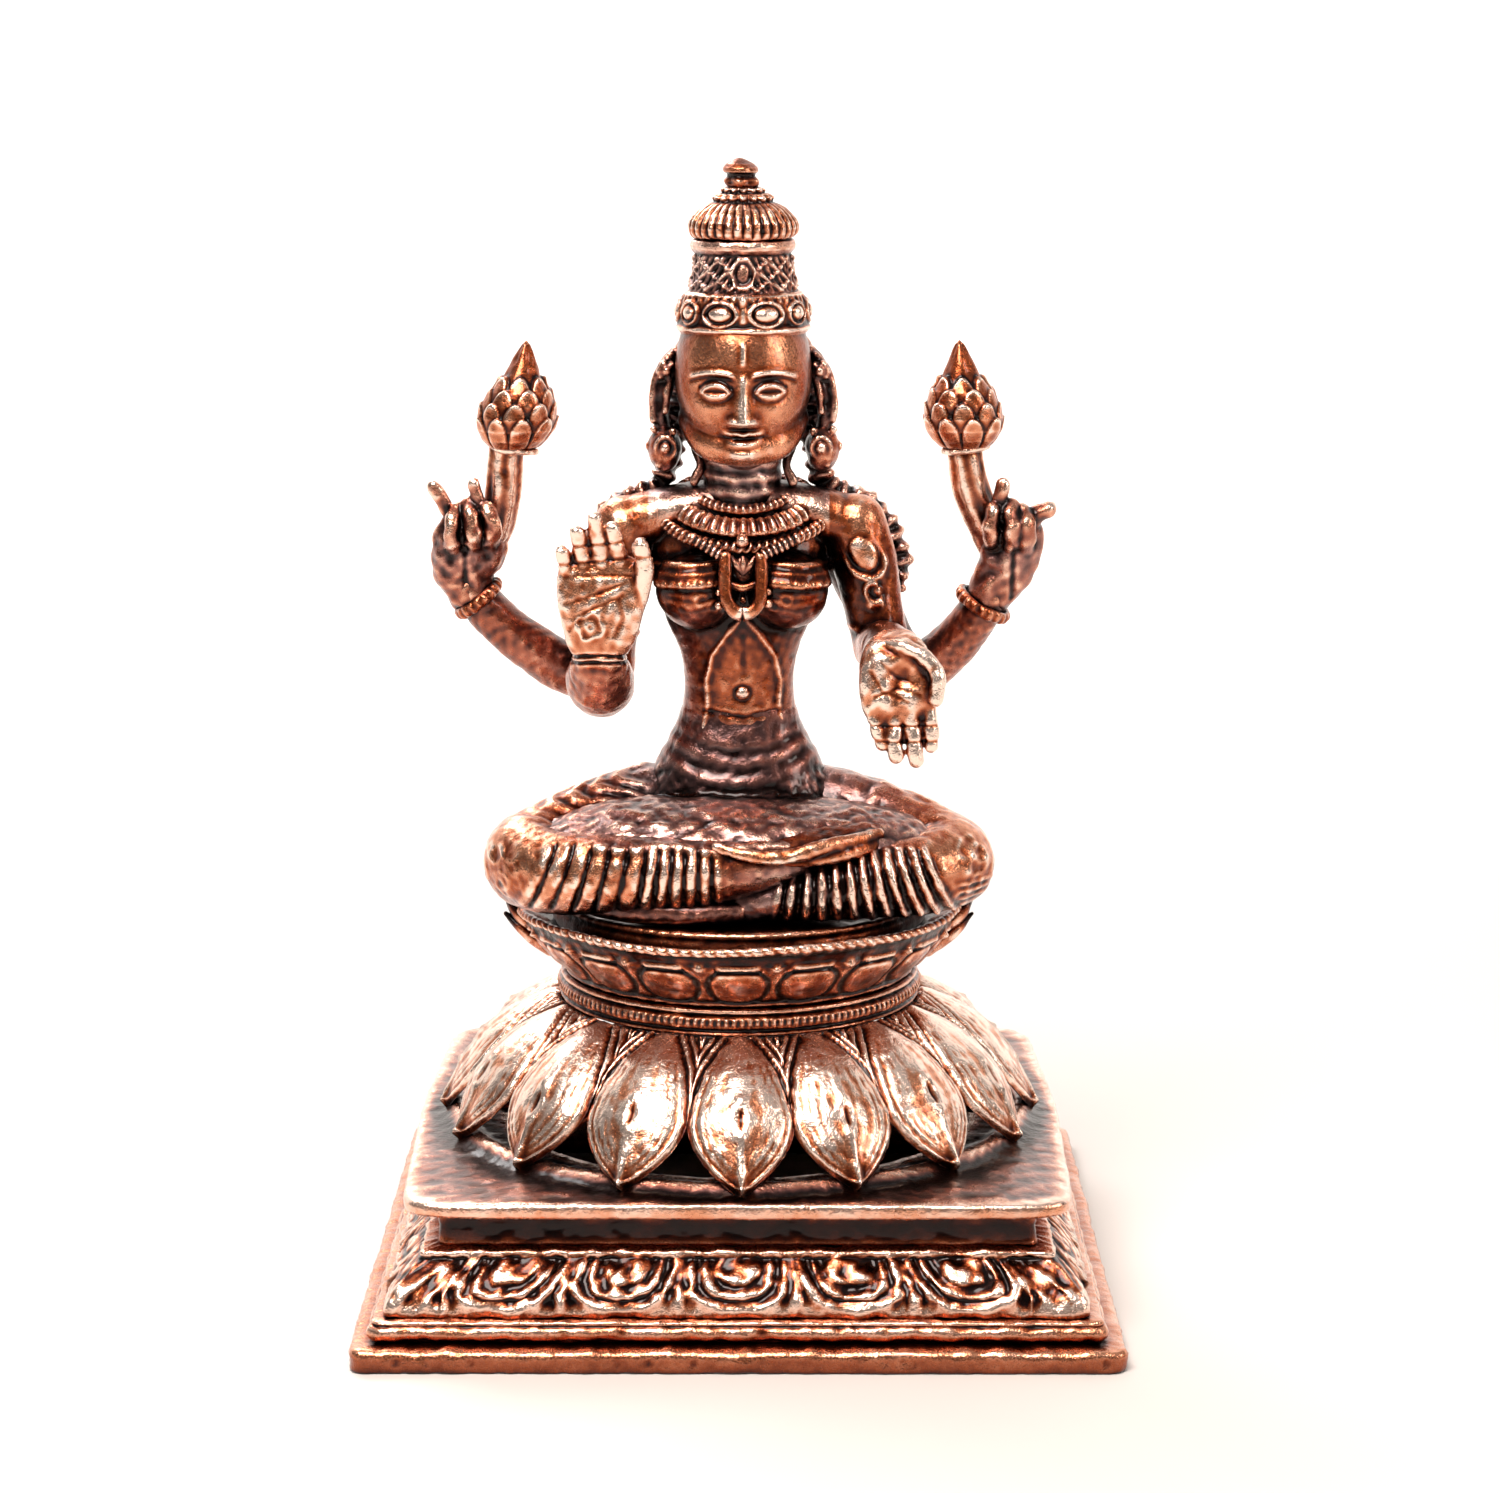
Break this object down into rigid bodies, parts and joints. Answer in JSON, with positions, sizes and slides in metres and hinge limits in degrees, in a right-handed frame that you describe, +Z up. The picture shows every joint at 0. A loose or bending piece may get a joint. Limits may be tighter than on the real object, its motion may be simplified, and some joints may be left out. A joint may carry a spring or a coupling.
{
  "type": "seated deity statuette",
  "caption": "Cast copper figurine: a crowned four-armed figure seated cross-legged on a round lotus throne with a stepped square base.",
  "frame": {"origin": "centre of the square base on the table plane", "axes": "+Z up, -Y the way the figure faces, +X to the right of a viewer who stands in front of it"},
  "size_m": [0.0986, 0.0986, 0.15],
  "materials": {
    "polished_copper": "polished high spots over brown copper",
    "patinated_copper": "dark brown patina"
  },
  "bodies": {
    "root": {"plinth_foot": "polished_copper", "plinth_torus": "polished_copper", "plinth_petal_band": "patinated_copper", "plinth_neck": "patinated_copper", "plinth_slab": "polished_copper", "lotus_dome": "patinated_copper", "lotus_petal_01": "polished_copper", "lotus_petal_02": "polished_copper", "lotus_petal_03": "polished_copper", "lotus_petal_04": "polished_copper", "lotus_petal_05": "polished_copper", "lotus_petal_06": "polished_copper", "lotus_petal_07": "polished_copper", "lotus_petal_08": "polished_copper", "lotus_petal_09": "polished_copper", "lotus_petal_10": "polished_copper", "lotus_petal_11": "polished_copper", "lotus_petal_12": "polished_copper", "lotus_petal_13": "polished_copper", "lotus_petal_14": "polished_copper", "lotus_petal_15": "polished_copper", "lotus_petal_16": "polished_copper", "neck_ring": "polished_copper", "lotus_seat": "polished_copper", "seat_cushion": "patinated_copper", "leg_right": "polished_copper", "foot_right": "polished_copper", "leg_left": "polished_copper", "foot_left": "patinated_copper", "waist_cloth": "patinated_copper", "torso": "polished_copper", "head": "polished_copper", "necklace": "polished_copper", "pendant": "polished_copper", "breast_band": "patinated_copper", "band_clasp": "polished_copper", "upper_arm_front_right": "polished_copper", "forearm_front_right": "polished_copper", "hand_front_right": "polished_copper", "upper_arm_front_left": "polished_copper", "forearm_front_left": "polished_copper", "hand_front_left": "polished_copper", "armlet_right": "polished_copper", "armlet_left": "polished_copper", "diadem": "polished_copper", "crown_body": "polished_copper", "crown_cushion": "polished_copper", "crown_finial": "polished_copper", "earring_right": "polished_copper", "hair_right": "patinated_copper", "earring_left": "polished_copper", "hair_left": "patinated_copper", "arm_rear_right": "polished_copper", "hand_rear_right": "polished_copper", "bracelet_rear_right": "polished_copper", "lotus_bud_right": "polished_copper", "arm_rear_left": "polished_copper", "hand_rear_left": "polished_copper", "bracelet_rear_left": "polished_copper", "lotus_bud_left": "polished_copper"}
  },
  "joints": []
}
